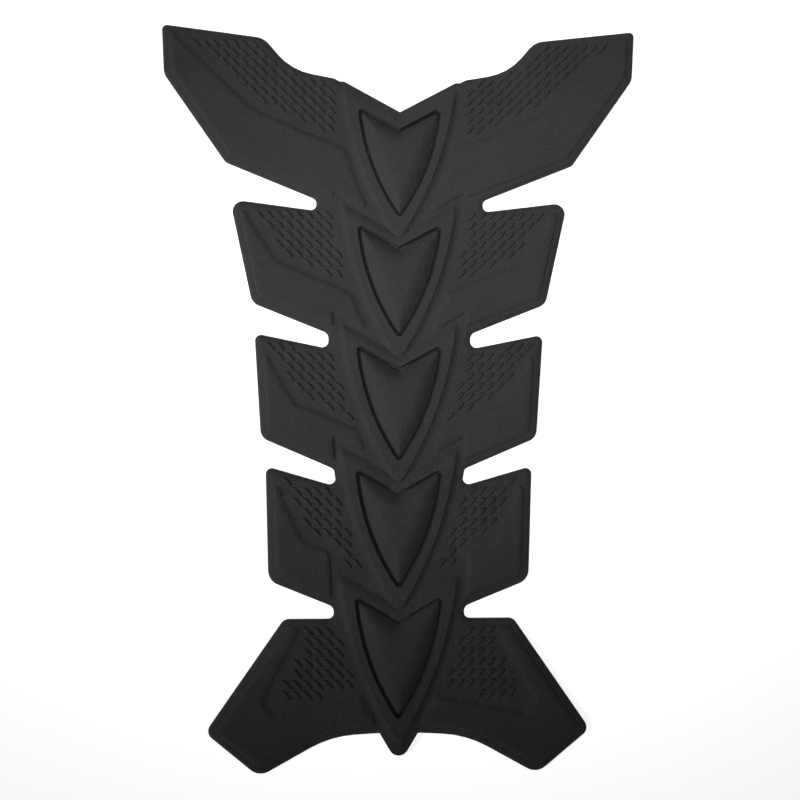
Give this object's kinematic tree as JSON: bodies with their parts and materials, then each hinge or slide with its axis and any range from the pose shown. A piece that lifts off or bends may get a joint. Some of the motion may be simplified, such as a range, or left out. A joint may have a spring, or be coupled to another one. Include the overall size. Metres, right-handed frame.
{
  "type": "motorcycle tank pad",
  "caption": "One-piece moulded rubber tank pad with a ridged spine of shield-shaped domes, notched wings and patches of grip scales.",
  "frame": {"origin": "middle of the flat back face, on the surface that the pad lies on", "axes": "+X across the pad, +Y up the spine to the wide wings, +Z out of the front face"},
  "size_m": [0.1388, 0.2102, 0.004],
  "materials": {
    "rubber": "matt, fine moulded grain"
  },
  "bodies": {
    "root": {"tank_pad": "rubber"}
  },
  "joints": []
}
